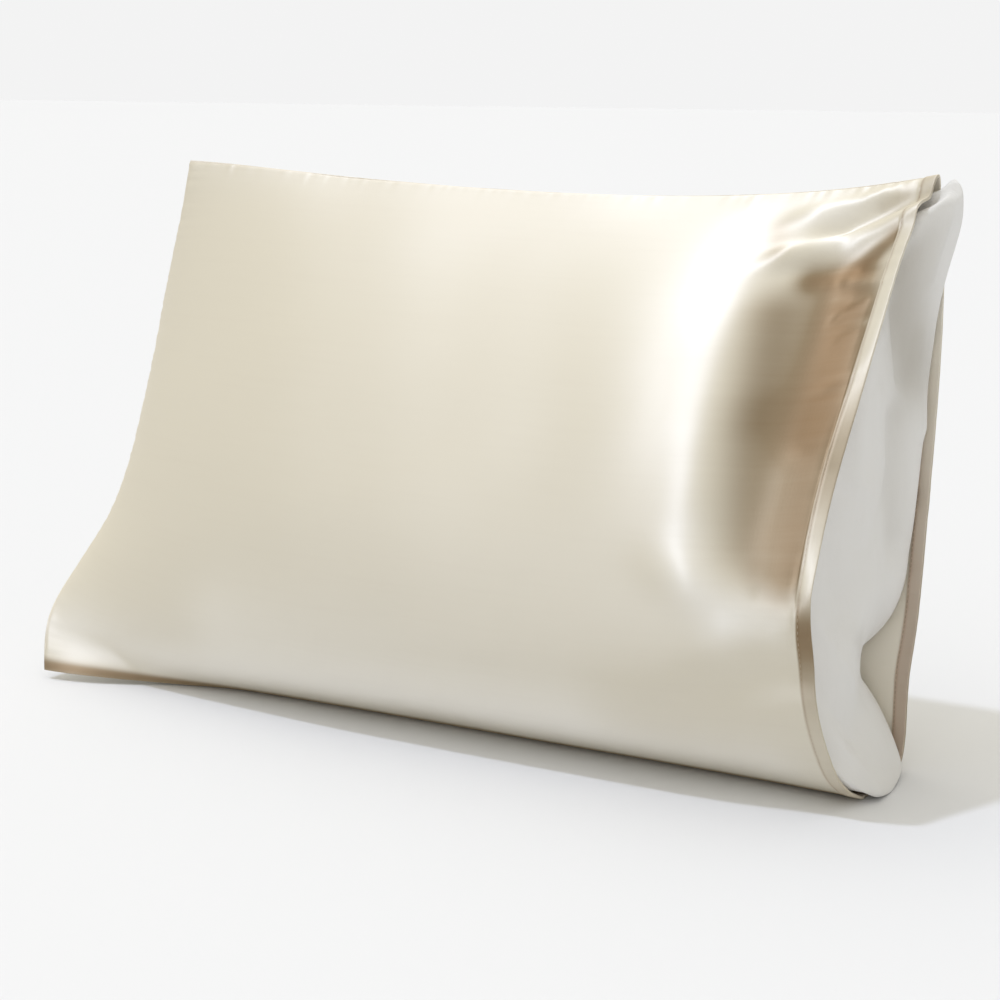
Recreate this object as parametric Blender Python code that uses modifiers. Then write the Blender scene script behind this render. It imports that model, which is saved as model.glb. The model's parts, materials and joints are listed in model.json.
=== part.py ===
"""Travel pillowcase of satin on its small white pillow, standing on one long edge.

Three sewn pieces: the front panel, the back panel and the filled insert pillow. Each panel is
a rectangle of cloth with a narrow hem at the mouth, and the two meet along the top, the closed
end and the bottom. The filling crowns them, the closed end is drawn in, the weight flattens
the foot, and the mouth stays open at the other end, where the insert shows.

Frame: +X runs from the closed end to the mouth, the front faces -Y, +Z is up, and the origin
is on the floor under the middle of the box. Metres, with the tables in millimetres.
"""
import bmesh
import bpy
import numpy as np

MM = 0.001

# Driving sizes.
CUT_WIDTH = 0.356         # each panel lies flat at 356 x 508 mm
CUT_LENGTH = 0.508
STANDING_LENGTH = 0.487   # along the floor, once the filling has taken up some length
CLOTH = 0.0012
HEM = 0.0075              # depth of the folded hem at the mouth
HEM_CLOTH = 0.0020
SEAM_GAP = 0.0003         # between two solids that are sewn together
FRAME_X = 0.0013          # middle of the box from the middle of the floor line
FRAME_Y = 0.0465          # middle of the box behind the front floor line
GRID_FRONT = (44, 30)     # faces along the length and from the bottom seam to the top
GRID_BACK = (28, 26)
GRID_INSERT = (26, 26, 6)
CROWDING = 0.5            # how strongly the grids crowd towards the closed end and the mouth

# The levels of a section as shares of the height of the top seam, and as shares of the cloth
# from the bottom seam to the top seam. The tables of sections below name them.
FRONT_HEIGHTS = (-0.003, 0.018, 0.100, 0.280, 0.420, 0.560, 0.700, 0.860, 1.000)
FRONT_ALONG = (0.000, 0.031, 0.136, 0.290, 0.398, 0.519, 0.652, 0.824, 1.000)
BACK_HEIGHTS = (-0.003, -0.008, 0.006, 0.085, 0.250, 0.420, 0.600, 0.780, 0.910, 1.000)
BACK_ALONG = (0.000, 0.072, 0.130, 0.222, 0.372, 0.519, 0.663, 0.807, 0.919, 1.000)

# Sections through the filled case: the share of the length, then the depth in mm of each level
# behind the front floor line.
FRONT_SECTIONS = (
    # along, seam, toe, instep, belly, chest, middle, shoulder, collar, top
    (0.00, 24, 15, -10, -22, -17, 0, 27, 66, 107),
    (0.30, 30, 20, -10, -29, -25, -8, 18, 60, 107),
    (0.60, 30, 20, -11, -32, -30, -14, 12, 56, 106),
    (0.80, 30, 19, -12, -34, -34, -22, 3, 48, 103),
    (0.91, 29, 18, -10, -32, -32, -16, 14, 56, 101),
    (1.00, 28, 15, -7, -27, -22, -1, 28, 62, 98),
)
BACK_SECTIONS = (
    # along, seam, sole, heel, calf, loin, waist, middle, shoulder, collar, top
    (0.00, 24, 44, 60, 82, 102, 114, 121, 121, 115, 107),
    (0.30, 30, 55, 75, 98, 118, 127, 130, 127, 119, 107),
    (0.60, 30, 55, 76, 98, 117, 126, 129, 126, 118, 106),
    (0.80, 30, 55, 74, 92, 107, 116, 121, 121, 114, 103),
    (1.00, 28, 52, 72, 80, 91, 100, 110, 116, 111, 98),
)

# The top seam: share of the length and height in mm. It dips between its two corners.
TOP_SEAM = ((0.00, 294.5), (0.15, 290.0), (0.45, 284.5), (0.80, 286.5), (0.92, 292.5), (1.00, 299.0))

# The closed end: share of the seam from its bottom corner, and how far it is drawn in, in mm.
CLOSED_END = (
    (0.00, -3.0),
    (0.09, -8.5),
    (0.17, -1.0),
    (0.30, 20.0),
    (0.50, 31.0),
    (0.75, 29.0),
    (1.00, 26.0),
)
END_BOTTOM = (-9.0, 5.0)      # depth and height of the closed end's bottom corner, in mm
CROWN_REACH = 0.60            # share of the length over which the filling swells from that end
CROWN_POWER = 0.60
FOOT_SHARE = 0.12             # share of the cloth that fills late at the end's bottom corner
FOOT_REACH = 0.25             # and the share of the length that it takes to fill

# The mouth: share of the hem from the bottom seam, and how far the front and back hems are
# drawn in, in mm.
MOUTH = (
    # along, front, back
    (0.00, 2.5, 2.5),
    (0.15, 9.5, 0.5),
    (0.32, 13.0, 0.0),
    (0.52, 12.0, 0.0),
    (0.75, 8.0, 1.0),
    (0.90, 5.5, 1.5),
    (1.00, 0.5, 0.5),
)
EDGE_DRAW_POWER = 2.0         # how fast a drawn edge straightens away from it
HEM_EASE = (0.009, 0.024)     # from the mouth, where the panels make room for the thicker hem
BOTTOM_EASE = (0.10, 0.20)    # shares of cloth and length where the bottom seam presses flat
HEM_TURN = 1.12               # hem depths from the mouth at which the cloth is single again

# Folds of the front panel, each a straight soft ridge (+) or trough (-) in the flat cloth:
# from (mouth, top) to (mouth, top), its half width and its height, all in mm. The first three
# fan out from the mouth's top corner.
FRONT_FOLDS = (
    # mouth_1, top_1, mouth_2, top_2, half_width, height
    (12, 3, 56, 17, 8.0, 3.2),
    (4, 12, 36, 27, 6.5, -4.0),
    (0, 25, 60, 46, 7.5, 3.4),
    (34, 70, 38, 185, 26.0, -6.0),
    (4, 233, 60, 220, 13.0, 4.0),
    (2, 258, 40, 268, 14.0, -2.5),
)
BACK_FOLDS = (
    (6, 14, 44, 34, 9.0, -3.0),
    (8, 36, 70, 66, 12.0, 2.5),
    (16, 250, 90, 215, 18.0, -3.0),
)
FOLD_EASE = (0.04, 0.05)      # shares of the cloth at the bottom and top seams that stay even

# The insert pillow.
INSERT_ROOM = 0.0015          # from the middle of the panels' cloth to the insert
INSERT_SLACK = 0.0022         # more of it towards the two long seams
CORNER_SLACK = 0.0018         # and more under the folds at the mouth's top corner
CORNER_START = (0.78, 0.70)   # shares of the length and of the cloth where those folds begin
CORNER_SPAN = (0.10, 0.12)    # and over which the slack grows
LEAST_ROOM = 0.28             # share of the gap between the panels that the room may take
INSERT_START = 0.045          # shares of the length and of the cloth where the insert begins
INSERT_EDGE = 0.055
EDGE_AT_MOUTH = (0.5, 0.6)    # how much of that edge the insert regains at the mouth
SEAM_ZONE = 0.2               # share of the cloth that counts as near a long seam
INSERT_END = (
    # along the hem: how far the insert's end stands past the mouth at its front, middle and
    # back, in mm
    (0.00, 7.0, 10.0, 8.0),
    (0.10, -3.0, 7.0, 6.0),
    (0.20, -12.0, 0.0, -2.0),
    (0.32, -14.0, -6.0, -4.5),
    (0.50, -13.5, -6.5, -3.5),
    (0.70, -12.0, -4.5, -2.5),
    (0.86, -7.0, 4.0, 5.0),
    (0.94, 1.0, 12.5, 12.0),
    (1.00, 4.0, 10.5, 9.5),
)
POCKET = (0.300, 0.95, 0.054, 0.46, 27.0)   # along, across, half sizes, and depth in mm
CORNER_RISE = (0.0075, 0.009)   # how high the insert's free top corner stands, and how far out
CORNER_SAG = (0.0034, 0.006)    # how low its free bottom corner comes, and how far out
END_ROUNDING = (0.25, 0.016)  # share of its thickness that the insert's end loses, and how far out


def spline_weights(knots, places):
    """Weights of a smooth curve through the knots, one row for each place where it is read."""
    knots = np.asarray(knots, float)
    places = np.asarray(places, float)
    count = len(knots)
    step = np.diff(knots)
    system = np.eye(count)
    bends = np.zeros((count, count))
    for i in range(1, count - 1):
        system[i, i - 1:i + 2] = step[i - 1], 2 * (step[i - 1] + step[i]), step[i]
        bends[i, i - 1:i + 2] = 6 / step[i - 1], -6 / step[i - 1] - 6 / step[i], 6 / step[i]
    second = np.linalg.solve(system, bends)
    cell = np.clip(np.searchsorted(knots, places, side="right") - 1, 0, count - 2)
    width = step[cell]
    right = (places - knots[cell]) / width
    left = 1 - right
    unit = np.eye(count)
    straight = left[:, None] * unit[cell] + right[:, None] * unit[cell + 1]
    bow_left = ((left ** 3 - left) * width ** 2 / 6)[:, None] * second[cell]
    bow_right = ((right ** 3 - right) * width ** 2 / 6)[:, None] * second[cell + 1]
    return straight + bow_left + bow_right


def read_curve(rows, column, places):
    """One column of a table whose first column is the place, read smoothly at the places."""
    table = np.array(rows, float)
    return spline_weights(table[:, 0], places) @ table[:, column]


def read_sections(rows, level_places, along, up):
    """Depth of the section table at each pair of a share of the length and of the cloth."""
    table = np.array(rows, float)
    lengthwise = spline_weights(table[:, 0], along)
    upward = spline_weights(level_places, up)
    return np.einsum("ki,ij,kj->k", lengthwise, table[:, 1:], upward)


def smooth_step(x):
    x = np.clip(x, 0.0, 1.0)
    return x * x * (3 - 2 * x)


def crown(along):
    """How far the filling has swelled, from 0 at the closed end's seam to 1."""
    left_over = np.clip(1 - along / CROWN_REACH, 0.0, 1.0)
    return (1 - left_over ** 3) ** CROWN_POWER


def floor_height(along):
    """Lowest that the middle of the cloth can lie, so that its underside is on the floor."""
    in_hem = along > 1 - 1.01 * HEM / CUT_LENGTH
    return np.where(in_hem, HEM_CLOTH, CLOTH) / 2


def sheet_points(side, along, up):
    """Middle of a panel's cloth, smooth and without its folds; `side` is -1 front, +1 back."""
    if side < 0:
        sections, places, shares, column = FRONT_SECTIONS, FRONT_ALONG, FRONT_HEIGHTS, 1
    else:
        sections, places, shares, column = BACK_SECTIONS, BACK_ALONG, BACK_HEIGHTS, 2
    inside = np.clip(along, 0.0, 1.0)
    top = read_curve(TOP_SEAM, 1, inside)
    depth = read_sections(sections, places, inside, up)
    height = (spline_weights(places, up) @ np.array(shares)) * top
    end_depth = END_BOTTOM[0] + (sections[0][-1] - END_BOTTOM[0]) * up
    end_height = END_BOTTOM[1] + (TOP_SEAM[0][1] - END_BOTTOM[1]) * up
    in_foot = 1 - smooth_step(up / FOOT_SHARE)
    swell = crown(inside) * (1 - in_foot) + smooth_step(inside / FOOT_REACH) * in_foot
    depth = end_depth + (depth - end_depth) * swell
    height = end_height + (height - end_height) * swell
    drawn_left = read_curve(CLOSED_END, 1, up) * (1 - inside) ** EDGE_DRAW_POWER
    drawn_right = read_curve(MOUTH, column, up) * inside ** EDGE_DRAW_POWER
    x = (along - 0.5) * STANDING_LENGTH + (drawn_left - drawn_right) * MM
    from_mouth = (1 - along) * CUT_LENGTH
    near_hem = smooth_step((HEM_EASE[1] - from_mouth) / (HEM_EASE[1] - HEM_EASE[0]))
    half_cloth = (CLOTH + (HEM_CLOTH - CLOTH) * near_hem) / 2
    flat_seam = (1 - smooth_step(up / BOTTOM_EASE[0])) * smooth_step(along / BOTTOM_EASE[1])
    apart = SEAM_GAP / 2 + half_cloth * (1 - 0.5 * flat_seam)
    y = depth * MM + side * apart
    z = np.maximum(height * MM, floor_height(along))
    return np.stack((x - FRAME_X, y - FRAME_Y, z), axis=-1)


def fold_height(folds, along, up):
    """Sum of the folds at each place of the flat cloth."""
    mouth = (1 - along) * CUT_LENGTH / MM
    top = (1 - up) * CUT_WIDTH / MM
    total = np.zeros_like(mouth)
    for mouth_1, top_1, mouth_2, top_2, half_width, height in folds:
        run = np.hypot(mouth_2 - mouth_1, top_2 - top_1)
        toward_mouth, toward_top = (mouth_2 - mouth_1) / run, (top_2 - top_1) / run
        travelled = (mouth - mouth_1) * toward_mouth + (top - top_1) * toward_top
        aside = (mouth - mouth_1) * toward_top - (top - top_1) * toward_mouth
        beyond = np.maximum(np.abs(travelled - run / 2) - run / 2, 0.0)
        distance = np.hypot(aside, beyond) / half_width
        total += height * MM * np.exp(-distance ** 2)
    return total


def panel_points(side, along, up, inward=0.0):
    """Middle of a panel's cloth with its folds, or a surface that lies inward of it."""
    step = 0.002
    here = sheet_points(side, along, up)
    lengthwise = sheet_points(side, along + step, up) - sheet_points(side, along - step, up)
    upward = sheet_points(side, along, up + step) - sheet_points(side, along, up - step)
    outward = -side * np.cross(lengthwise, upward)
    outward /= np.linalg.norm(outward, axis=-1, keepdims=True)
    folds = FRONT_FOLDS if side < 0 else BACK_FOLDS
    ease = smooth_step(up / FOLD_EASE[0]) * smooth_step((1 - up) / FOLD_EASE[1])
    lift = fold_height(folds, along, up) * ease - inward
    place = here + outward * lift[:, None]
    place[:, 2] = np.maximum(place[:, 2], floor_height(along) + inward)
    return place


def crowd_ends(even):
    """Even shares moved closer together at the closed end and at the mouth."""
    return even - CROWDING * np.sin(2 * np.pi * even) / (2 * np.pi)


def make_material(name, color, roughness, sheen):
    material = bpy.data.materials.new(name)
    material.use_nodes = True
    shader = material.node_tree.nodes["Principled BSDF"]
    shader.inputs["Base Color"].default_value = (*color, 1.0)
    shader.inputs["Roughness"].default_value = roughness
    shader.inputs["Metallic"].default_value = 0.0
    shader.inputs["Sheen Weight"].default_value = sheen
    return material


def add_object(name, mesh_builder, material, collection):
    """Turn a bmesh into a named object of the collection."""
    mesh = bpy.data.meshes.new(name)
    mesh_builder.to_mesh(mesh)
    mesh_builder.free()
    mesh.materials.append(material)
    mesh.shade_smooth()
    thing = bpy.data.objects.new(name, mesh)
    collection.objects.link(thing)
    return thing


def add_panel(name, side, faces, material, collection):
    """A flat grid bent to the panel's shape and thickened, its hem thicker than the rest."""
    columns, rows = faces
    grid = bmesh.new()
    bmesh.ops.create_grid(grid, x_segments=columns, y_segments=rows, size=0.5)
    flat = np.array([corner.co for corner in grid.verts])
    lines = crowd_ends(np.linspace(0.0, 1.0, columns + 1))
    hem_share = HEM / CUT_LENGTH
    lines[-2] = 1 - hem_share
    lines[-3] = 1 - hem_share * HEM_TURN
    column = np.rint((flat[:, 0] + 0.5) * columns).astype(int)
    along = lines[column]
    up = flat[:, 1] + 0.5
    places = panel_points(side, along, up)
    for corner, place in zip(grid.verts, places):
        corner.co = place
    if side > 0:
        bmesh.ops.reverse_faces(grid, faces=grid.faces[:])
    hem_corners = [int(i) for i in np.flatnonzero(column >= columns - 1)]
    panel = add_object(name, grid, material, collection)
    hem = panel.vertex_groups.new(name="hem")
    hem.add(hem_corners, 1.0, "REPLACE")
    solidify = panel.modifiers.new("cloth", "SOLIDIFY")
    solidify.thickness = HEM_CLOTH
    solidify.offset = 0.0
    solidify.vertex_group = "hem"
    solidify.thickness_vertex_group = CLOTH / HEM_CLOTH
    return panel


def insert_points(along_share, up_share, across):
    """Surface of the insert: shares of its length and height, and -1 front to +1 back."""
    up = INSERT_EDGE + (1 - 2 * INSERT_EDGE) * up_share
    at_mouth = smooth_step(1 - (1 - along_share) / SEAM_ZONE)
    up -= EDGE_AT_MOUTH[0] * INSERT_EDGE * smooth_step(1 - up_share / SEAM_ZONE) * at_mouth
    up += EDGE_AT_MOUTH[1] * INSERT_EDGE * smooth_step(1 - (1 - up_share) / SEAM_ZONE) * at_mouth
    table = np.array(INSERT_END)
    lengthwise = spline_weights(table[:, 0], up)
    crosswise = spline_weights((-1, 0, 1), across)
    end = np.einsum("ki,ij,kj->k", lengthwise, table[:, 1:], crosswise)
    pocket_up, pocket_across, half_up, half_across, pocket_depth = POCKET
    end -= pocket_depth * np.exp(
        -((up - pocket_up) / half_up) ** 2 - ((across - pocket_across) / half_across) ** 2)
    along = INSERT_START + (1 + end * MM / STANDING_LENGTH - INSERT_START) * along_share
    inside = np.minimum(along, 1.0)
    gap = sheet_points(1, inside, up) - sheet_points(-1, inside, up)
    near_top = 1 - smooth_step((1 - up) / SEAM_ZONE)
    near_bottom = 1 - smooth_step(up / SEAM_ZONE)
    room = INSERT_ROOM + INSERT_SLACK * (near_top + 0.7 * near_bottom)
    corner = smooth_step((along - CORNER_START[0]) / CORNER_SPAN[0])
    corner *= smooth_step((up - CORNER_START[1]) / CORNER_SPAN[1])
    most_room = LEAST_ROOM * np.linalg.norm(gap, axis=-1)
    room = np.minimum(room + CORNER_SLACK * corner, most_room)
    front = panel_points(-1, inside, up, room)
    back = panel_points(1, inside, up, room)
    past = np.maximum(along - 1, 0.0) * STANDING_LENGTH
    narrowed = across * (1 - END_ROUNDING[0] * np.minimum(past / END_ROUNDING[1], 1.0) ** 2)
    place = (front + back) / 2 + (back - front) / 2 * narrowed[:, None]
    place[:, 0] += past
    place[:, 2] += CORNER_RISE[0] * smooth_step(past / CORNER_RISE[1]) * near_top
    place[:, 2] -= CORNER_SAG[0] * smooth_step((past - 0.004) / CORNER_SAG[1]) * near_bottom
    place[:, 2] = np.maximum(place[:, 2], SEAM_GAP)
    return place


def add_insert(name, material, collection):
    """A cube cut into a grid, each corner moved to its place on the insert."""
    block = bmesh.new()
    bmesh.ops.create_cube(block, size=1.0)
    for axis, count in enumerate(GRID_INSERT):
        lengthwise = [
            edge for edge in block.edges
            if abs(edge.verts[0].co[axis] - edge.verts[1].co[axis]) > 0.9
        ]
        bmesh.ops.subdivide_edges(block, edges=lengthwise, cuts=count - 1, use_grid_fill=True)
    cube = np.array([corner.co for corner in block.verts]) + 0.5
    places = insert_points(crowd_ends(cube[:, 0]), cube[:, 1], cube[:, 2] * 2 - 1)
    for corner, place in zip(block.verts, places):
        corner.co = place
    bmesh.ops.reverse_faces(block, faces=block.faces[:])
    return add_object(name, block, material, collection)


for leftover in list(bpy.data.objects):
    bpy.data.objects.remove(leftover, do_unlink=True)

case_parts = bpy.data.collections.new("travel_pillowcase")
bpy.context.scene.collection.children.link(case_parts)
satin = make_material("satin", (0.74, 0.69, 0.58), 0.34, 0.35)
satin_back = make_material("satin_back", (0.72, 0.67, 0.56), 0.34, 0.35)
cotton = make_material("cotton", (0.80, 0.79, 0.77), 0.90, 0.10)

add_panel("front_panel", -1, GRID_FRONT, satin, case_parts)
add_panel("back_panel", 1, GRID_BACK, satin_back, case_parts)
add_insert("pillow_insert", cotton, case_parts)
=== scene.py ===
"""Travel pillowcase: satin covers with stitched hems, and the white pillow inside them.

Run as a script. It loads the fixed frame, puts finished cloth in the place of the frame's plain
solids and sets up a small studio. Lengths are in metres and the tables of shapes are in
millimetres. +X runs from the closed end to the mouth, the front faces -Y and +Z is up.
"""

import json
import math

import bmesh
import bpy
import numpy as np
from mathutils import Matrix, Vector

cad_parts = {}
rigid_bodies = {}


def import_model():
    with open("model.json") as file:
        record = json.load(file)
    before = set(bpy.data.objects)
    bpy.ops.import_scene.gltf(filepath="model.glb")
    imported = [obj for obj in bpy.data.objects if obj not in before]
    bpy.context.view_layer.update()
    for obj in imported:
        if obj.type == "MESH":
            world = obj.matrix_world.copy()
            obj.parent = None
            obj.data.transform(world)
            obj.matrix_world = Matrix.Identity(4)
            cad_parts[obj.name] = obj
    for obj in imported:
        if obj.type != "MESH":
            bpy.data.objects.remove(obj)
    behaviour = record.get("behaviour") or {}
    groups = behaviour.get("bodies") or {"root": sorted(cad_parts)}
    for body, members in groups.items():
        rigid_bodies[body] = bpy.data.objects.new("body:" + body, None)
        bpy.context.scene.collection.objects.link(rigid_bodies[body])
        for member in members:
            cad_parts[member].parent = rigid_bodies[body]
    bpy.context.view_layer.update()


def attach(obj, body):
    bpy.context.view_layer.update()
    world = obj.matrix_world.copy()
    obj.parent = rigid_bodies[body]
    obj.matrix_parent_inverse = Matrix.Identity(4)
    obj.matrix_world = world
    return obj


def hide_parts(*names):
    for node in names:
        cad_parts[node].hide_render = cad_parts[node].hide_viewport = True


bl_info = {
    "name": "Travel Pillowcase",
    "version": (1, 0, 0),
    "blender": (4, 5, 0),
    "location": "View3D > Sidebar > Pillowcase",
    "description": "Builds a satin travel pillowcase, the pillow in it and a small studio",
    "category": "Object",
}

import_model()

MM = 0.001

# The cut and the stand of the case, as in the frame.
CUT_WIDTH = 0.356
CUT_LENGTH = 0.508
STANDING_LENGTH = 0.487
HEM = 0.0075
SEAM_GAP = 0.0003
FRAME_X = 0.0013
FRAME_Y = 0.0465

# The levels of a section as shares of the height of the top seam, and as shares of the cloth
# from the bottom seam to the top seam.
FRONT_HEIGHTS = (-0.003, 0.018, 0.100, 0.280, 0.420, 0.560, 0.700, 0.860, 1.000)
FRONT_ALONG = (0.000, 0.031, 0.136, 0.290, 0.398, 0.519, 0.652, 0.824, 1.000)
BACK_HEIGHTS = (-0.003, -0.008, 0.006, 0.085, 0.250, 0.420, 0.600, 0.780, 0.910, 1.000)
BACK_ALONG = (0.000, 0.072, 0.130, 0.222, 0.372, 0.519, 0.663, 0.807, 0.919, 1.000)

# Sections through the filled case: the share of the length, then the depth in mm of each level.
FRONT_SECTIONS = (
    # along, seam, toe, instep, belly, chest, middle, shoulder, collar, top
    (0.00, 24, 15, -10, -22, -17, 0, 27, 66, 107),
    (0.30, 30, 20, -10, -29, -25, -8, 18, 60, 107),
    (0.60, 30, 20, -11, -32, -30, -14, 12, 56, 106),
    (0.80, 30, 19, -12, -34, -34, -22, 3, 48, 103),
    (0.91, 29, 18, -10, -32, -32, -16, 14, 56, 101),
    (1.00, 28, 15, -7, -27, -22, -1, 28, 62, 98),
)
BACK_SECTIONS = (
    # along, seam, sole, heel, calf, loin, waist, middle, shoulder, collar, top
    (0.00, 24, 44, 60, 82, 102, 114, 121, 121, 115, 107),
    (0.30, 30, 55, 75, 98, 118, 127, 130, 127, 119, 107),
    (0.60, 30, 55, 76, 98, 117, 126, 129, 126, 118, 106),
    (0.80, 30, 55, 74, 92, 107, 116, 121, 121, 114, 103),
    (1.00, 28, 52, 72, 80, 91, 100, 110, 116, 111, 98),
)
# Height of the top seam in mm, by the share of the length.
TOP_SEAM = (
    (0.00, 294.5), (0.15, 290), (0.45, 284.5), (0.80, 286.5), (0.92, 292.5), (1.00, 299))

# How far the closed end is drawn in, in mm by the share of its seam from the bottom corner, and
# the depth and height of that corner.
CLOSED_END = (
    (0.00, -3), (0.09, -8.5), (0.17, -1), (0.30, 20), (0.50, 31), (0.75, 29), (1.00, 26))
END_BOTTOM = (-9.0, 5.0)
# How soon the filling swells away from the closed end, and how the foot does.
CROWN_REACH = 0.60
CROWN_POWER = 0.60
FOOT_SHARE = 0.12
FOOT_REACH = 0.25

# How far the two hems are drawn in, in mm by the share of the hem from the bottom seam.
MOUTH = (
    # along, front, back
    (0.00, 2.5, 2.5),
    (0.15, 9.5, 0.5),
    (0.32, 13, 0),
    (0.52, 12, 0),
    (0.75, 8, 1),
    (0.90, 5.5, 1.5),
    (1.00, 0.5, 0.5),
)
EDGE_DRAW_POWER = 2.0
# Metres from the mouth over which the hem's cloth thins to the single cloth, and the shares over
# which the bottom seam lies flat.
HEM_EASE = (0.009, 0.024)
BOTTOM_EASE = (0.10, 0.20)
# How folds (as shares) and creases (in mm) ease out at the seams, and how slowly both fade past
# their ends.
FOLD_EASE = (0.04, 0.05)
CREASE_EASE = (5, 12)
FOLD_TAIL = 2.0

# Folds: each is a straight soft ridge (+) or trough (-) in the flat cloth, in mm from the mouth
# and from the top seam. The rows of every table of strokes are mouth_1, top_1, mouth_2, top_2,
# half_width and height, or amount.
FRONT_FOLDS = (
    (12, 3, 56, 17, 8, 3.2),
    (4, 12, 36, 27, 6.5, -4),
    (0, 25, 60, 46, 7.5, 3.4),
    (34, 70, 38, 185, 26, -6),
    (4, 233, 60, 220, 13, 4),
    (2, 258, 40, 268, 14, -2.5),
)
FRONT_CREASES = (
    (9, 80, 10, 188, 12, -0.9),
    (74, 84, 66, 182, 18, 1.2),
    (18, 3, 31, 11, 4, 0.6),
    (31, 11, 50, 19, 6, 0.7),
    (58, 2, 96, 6, 7, 0.5),
    (14, 12, 40, 23, 4.5, -0.8),
    (4, 28, 28, 41, 3.6, 0.9),
    (28, 42, 62, 51, 6.5, 0.6),
    (16, 52, 60, 58, 5, -0.9),
    (9, 61, 21, 58, 2.2, -0.5),
    (9, 70, 26, 65, 2.4, 0.7),
    (28, 67, 37, 66, 2.6, 0.4),
    (12, 76, 20, 76, 2.2, -0.4),
    (13, 80, 24, 87, 2.4, 0.6),
    (9, 95, 19, 101, 2.4, 0.35),
    (9, 122, 18, 126, 3, 0.3),
    (9, 166, 20, 161, 3, 0.3),
    (9, 229, 26, 226, 3, -0.6),
    (9, 242, 46, 236, 10, 0.8),
)
BACK_FOLDS = (
    (6, 14, 44, 34, 9, -3),
    (8, 36, 70, 66, 12, 2.5),
    (16, 250, 90, 215, 18, -3),
)
BACK_CREASES = (
    (10, 30, 34, 50, 4, -0.9),
    (9, 60, 30, 74, 3.4, 0.7),
    (9, 92, 26, 99, 3, -0.5),
    (10, 160, 40, 148, 5, 0.8),
    (9, 205, 34, 196, 4, -0.7),
    (470, 40, 500, 24, 6, -1),
    (462, 300, 502, 322, 6, 1),
)

# Puckers along the hem, the top seam and the closed end's seam: their shortest and longest wave,
# how far they fade and where they start, in mm, and their share of the pucker's height.
HEM_PUCKERS = (5, 13, 6, 0.8, 1.0)
TOP_PUCKERS = (5, 16, 5, 2, 0.8)
END_PUCKERS = (6, 17, 9, 3, 1.6)
# Slow waves over the whole cloth, which run aslant, and their share of the unevenness.
SLOW_WAVES = (
    # part from the mouth, part from the top seam, shortest, longest
    (1, 0.4, 45, 130),
    (-0.3, 1, 40, 110),
)
SLOW_SHARE = 0.35
WAVE_GAIN = 1.8
FRONT_SEED = 11
BACK_SEED = 47
# Small shapes of seams and hem, in mm; the lean's reach is in widths of the hem.
ROLL_WIDTH = 1.3
ROLL_START = 6
HEM_STEP = 0.6
HEM_MARGIN = 0.05
HEM_WAVES = (9, 26, 0.16)
LEAN_REACH = 1.6
LEAN_START = 20
GROOVE_WIDTH = 0.45
GROOVE_DEPTH = 0.22
RELIEF_START = (2, 14)
# How the front hem leans: mm from the top seam, and mm that its free edge stands out.
HEM_LEAN = (
    (0, 0.6), (30, 0.2), (60, 1.2), (110, 1.3), (150, -0.4), (190, -0.2), (212, 1),
    (226, 1.9), (234, -0.9), (256, -0.9), (290, 0.6), (356, 0.2))

# Painted shade: where the satin turns from the light, soft strokes placed like the folds take its
# colour towards the painted shade tint; rows with a negative amount lighten it, and the last row
# paints a line of shade along the bottom seam.
FRONT_PAINTED_SHADES = (
    (55, 86, 47, 128, 16, 0.52),
    (44, 148, 33, 200, 16, 0.54),
    (20, 84, 11, 212, 13, 0.90),
    (27, 70, 21, 147, 14, 1.05),
    (45, 62, 22, 60, 8, 0.95),
    (24, 56, 8, 40, 5, 0.80),
    (76, 29, 69, 46, 7, 0.22),
    (30, 216, 17, 223, 8, 0.25),
    (14, 10, 24, 15, 4, 0.12),
    (18, 68, 29, 66, 2.4, -0.35),
    (18, 78, 30, 75, 2.4, -0.30),
    (10, 93, 28, 87, 2.8, -0.30),
    (0, 353, 508, 353, 4, 1.00),
)
# Painted highlights, placed in the same way: they lift the satin's colour towards the painted
# highlight tint, also along the lower belly; a row with a negative amount lowers them.
FRONT_PAINTED_HIGHLIGHTS = (
    (170, 12, 120, 56, 50, 0.48),
    (205, 60, 185, 150, 32, 0.22),
    (98, 8, 94, 70, 18, 0.38),
    (110, 64, 104, 134, 12, -0.16),
    (90, 84, 83, 140, 11, 0.32),
    (80, 152, 72, 192, 9, 0.40),
    (70, 206, 50, 238, 14, 0.58),
    (44, 238, 20, 240, 8, 0.50),
    (480, 322, 40, 326, 25, 0.52),
    (370, 286, 150, 296, 30, 0.40),
    (66, 3, 28, 40, 9, 0.20),
    (56, 21, 26, 16, 7, 0.50),
    (46, 40, 28, 43, 6, 0.40),
)
# Painted shade along each hem's fold, where it turns from the light: mm from the top seam, and the
# amount.
HEM_PAINTED_SHADES = (
    (0, 0.22), (24, 0.10), (60, 0.02), (120, 0.12), (160, 0.48), (185, 0.36), (205, 0.12),
    (226, 0.20), (238, 0.72), (256, 0.62), (275, 0.30), (320, 0.18), (356, 0.30))
BACK_HEM_PAINTED_SHADES = ((0, 0.05), (110, 0.08), (170, 0.30), (230, 0.45), (356, 0.45))
# How fast summed strokes reach the full painted shade, and how fast the gleam takes on the cloth's
# own colour in that painted shade.
SHADE_GROWTH = 1.5
TURNED_GLEAM = 1.35
# The strength of a seam's tone and the mm that it fades in, and the half width in mm of the
# stitched line's.
SEAM_TONE = (0.25, 2.2)
LINE_TONE = 0.55

# Lines of the cloth grids along and across, and their spacing in mm, at mm from the closed end
# and from the bottom seam.
FRONT_GRID = (238, 170)
BACK_GRID = (170, 120)
COLUMN_SPACING = ((0, 0.8), (8, 1.4), (60, 3.0), (380, 3.0), (440, 1.5), (496, 0.9), (508, 0.45))
ROW_SPACING = ((0, 1.0), (10, 1.6), (60, 2.6), (280, 2.6), (335, 1.3), (356, 0.7))
# The share of the cloth over which its slope is measured.
SLOPE_STEP = 0.002

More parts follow.
